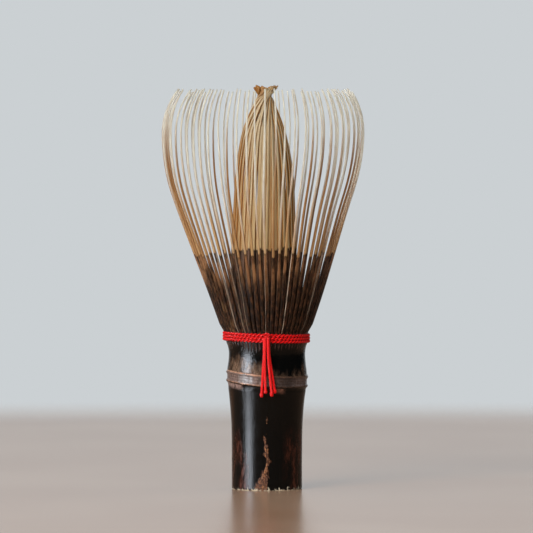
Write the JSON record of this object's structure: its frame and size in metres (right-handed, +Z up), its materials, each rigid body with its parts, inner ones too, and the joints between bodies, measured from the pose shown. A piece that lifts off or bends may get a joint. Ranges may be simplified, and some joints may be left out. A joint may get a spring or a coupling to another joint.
{
  "type": "bamboo tea whisk",
  "caption": "Tea whisk split from one dark bamboo culm: hollow handle with a node, flared springy outer tines, a twisted inner bundle, and a wound red thread with loose tails.",
  "frame": {"origin": "centre of the handle's flat base", "axes": "+Z up the handle to the tips of the tines, -Y towards the knot and its tails"},
  "size_m": [0.06, 0.06, 0.1176],
  "materials": {
    "dark_bamboo": "glossy smoked bamboo skin",
    "split_bamboo": "dark skin at the root, shaved pale towards the tip",
    "bundle_bamboo": "shaved bamboo, satin",
    "red_thread": "twisted thread"
  },
  "bodies": {
    "culm": {"handle": "dark_bamboo", "inner_tines_01": "bundle_bamboo", "inner_tines_02": "bundle_bamboo", "inner_tines_03": "bundle_bamboo", "inner_tines_04": "bundle_bamboo", "inner_tines_05": "bundle_bamboo", "inner_tines_06": "bundle_bamboo", "inner_tines_07": "bundle_bamboo", "inner_tines_08": "bundle_bamboo", "inner_tines_09": "bundle_bamboo", "inner_tines_10": "bundle_bamboo", "inner_tines_11": "bundle_bamboo", "inner_tines_12": "bundle_bamboo", "inner_tines_13": "bundle_bamboo", "inner_tines_14": "bundle_bamboo", "inner_tines_15": "bundle_bamboo", "inner_tines_16": "bundle_bamboo", "thread_row_1": "red_thread", "thread_row_2": "red_thread", "thread_row_3": "red_thread", "thread_knot": "red_thread"},
    "section_01": {"outer_tines_01": "split_bamboo"},
    "section_02": {"outer_tines_02": "split_bamboo"},
    "section_03": {"outer_tines_03": "split_bamboo"},
    "section_04": {"outer_tines_04": "split_bamboo"},
    "section_05": {"outer_tines_05": "split_bamboo"},
    "section_06": {"outer_tines_06": "split_bamboo"},
    "section_07": {"outer_tines_07": "split_bamboo"},
    "section_08": {"outer_tines_08": "split_bamboo"},
    "section_09": {"outer_tines_09": "split_bamboo"},
    "section_10": {"outer_tines_10": "split_bamboo"},
    "section_11": {"outer_tines_11": "split_bamboo"},
    "section_12": {"outer_tines_12": "split_bamboo"},
    "section_13": {"outer_tines_13": "split_bamboo"},
    "section_14": {"outer_tines_14": "split_bamboo"},
    "section_15": {"outer_tines_15": "split_bamboo"},
    "section_16": {"outer_tines_16": "split_bamboo"},
    "tassel": {"thread_tail_1": "red_thread", "thread_tail_2": "red_thread", "thread_tail_3": "red_thread", "thread_tail_4": "red_thread"}
  },
  "joints": [
    {"name": "flex_01", "type": "hinge", "parent": "culm", "child": "section_01", "pos_m": [0.01202, 0.00209, 0.04572], "axis": [-0.171, 0.9853, 0], "range_deg": [-3.5, 6], "stiffness_Nm_per_rad": 0.03},
    {"name": "flex_02", "type": "hinge", "parent": "culm", "child": "section_02", "pos_m": [0.01031, 0.00653, 0.04572], "axis": [-0.535, 0.8449, 0], "range_deg": [-3.5, 6], "stiffness_Nm_per_rad": 0.03},
    {"name": "flex_03", "type": "hinge", "parent": "culm", "child": "section_03", "pos_m": [0.00702, 0.00997, 0.04572], "axis": [-0.8176, 0.5758, 0], "range_deg": [-3.5, 6], "stiffness_Nm_per_rad": 0.03},
    {"name": "flex_04", "type": "hinge", "parent": "culm", "child": "section_04", "pos_m": [0.00267, 0.0119, 0.04572], "axis": [-0.9757, 0.2191, 0], "range_deg": [-3.5, 6], "stiffness_Nm_per_rad": 0.03},
    {"name": "flex_05", "type": "hinge", "parent": "culm", "child": "section_05", "pos_m": [-0.00209, 0.01202, 0.04572], "axis": [-0.9853, -0.171, 0], "range_deg": [-3.5, 6], "stiffness_Nm_per_rad": 0.03},
    {"name": "flex_06", "type": "hinge", "parent": "culm", "child": "section_06", "pos_m": [-0.00653, 0.01031, 0.04572], "axis": [-0.8449, -0.535, 0], "range_deg": [-3.5, 6], "stiffness_Nm_per_rad": 0.03},
    {"name": "flex_07", "type": "hinge", "parent": "culm", "child": "section_07", "pos_m": [-0.00997, 0.00702, 0.04572], "axis": [-0.5758, -0.8176, 0], "range_deg": [-3.5, 6], "stiffness_Nm_per_rad": 0.03},
    {"name": "flex_08", "type": "hinge", "parent": "culm", "child": "section_08", "pos_m": [-0.0119, 0.00267, 0.04572], "axis": [-0.2191, -0.9757, 0], "range_deg": [-3.5, 6], "stiffness_Nm_per_rad": 0.03},
    {"name": "flex_09", "type": "hinge", "parent": "culm", "child": "section_09", "pos_m": [-0.01202, -0.00209, 0.04572], "axis": [0.171, -0.9853, 0], "range_deg": [-3.5, 6], "stiffness_Nm_per_rad": 0.03},
    {"name": "flex_10", "type": "hinge", "parent": "culm", "child": "section_10", "pos_m": [-0.01031, -0.00653, 0.04572], "axis": [0.535, -0.8449, 0], "range_deg": [-3.5, 6], "stiffness_Nm_per_rad": 0.03},
    {"name": "flex_11", "type": "hinge", "parent": "culm", "child": "section_11", "pos_m": [-0.00702, -0.00997, 0.04572], "axis": [0.8176, -0.5758, 0], "range_deg": [-3.5, 6], "stiffness_Nm_per_rad": 0.03},
    {"name": "flex_12", "type": "hinge", "parent": "culm", "child": "section_12", "pos_m": [-0.00267, -0.0119, 0.04572], "axis": [0.9757, -0.2191, 0], "range_deg": [-3.5, 6], "stiffness_Nm_per_rad": 0.03},
    {"name": "flex_13", "type": "hinge", "parent": "culm", "child": "section_13", "pos_m": [0.00209, -0.01202, 0.04572], "axis": [0.9853, 0.171, 0], "range_deg": [-3.5, 6], "stiffness_Nm_per_rad": 0.03},
    {"name": "flex_14", "type": "hinge", "parent": "culm", "child": "section_14", "pos_m": [0.00653, -0.01031, 0.04572], "axis": [0.8449, 0.535, 0], "range_deg": [-3.5, 6], "stiffness_Nm_per_rad": 0.03},
    {"name": "flex_15", "type": "hinge", "parent": "culm", "child": "section_15", "pos_m": [0.00997, -0.00702, 0.04572], "axis": [0.5758, 0.8176, 0], "range_deg": [-3.5, 6], "stiffness_Nm_per_rad": 0.03},
    {"name": "flex_16", "type": "hinge", "parent": "culm", "child": "section_16", "pos_m": [0.0119, -0.00267, 0.04572], "axis": [0.2191, 0.9757, 0], "range_deg": [-3.5, 6], "stiffness_Nm_per_rad": 0.03},
    {"name": "tassel_swing", "type": "hinge", "parent": "culm", "child": "tassel", "pos_m": [0, -0.01345, 0.04482], "axis": [0, -1, 0], "range_deg": [-20, 20]}
  ]
}
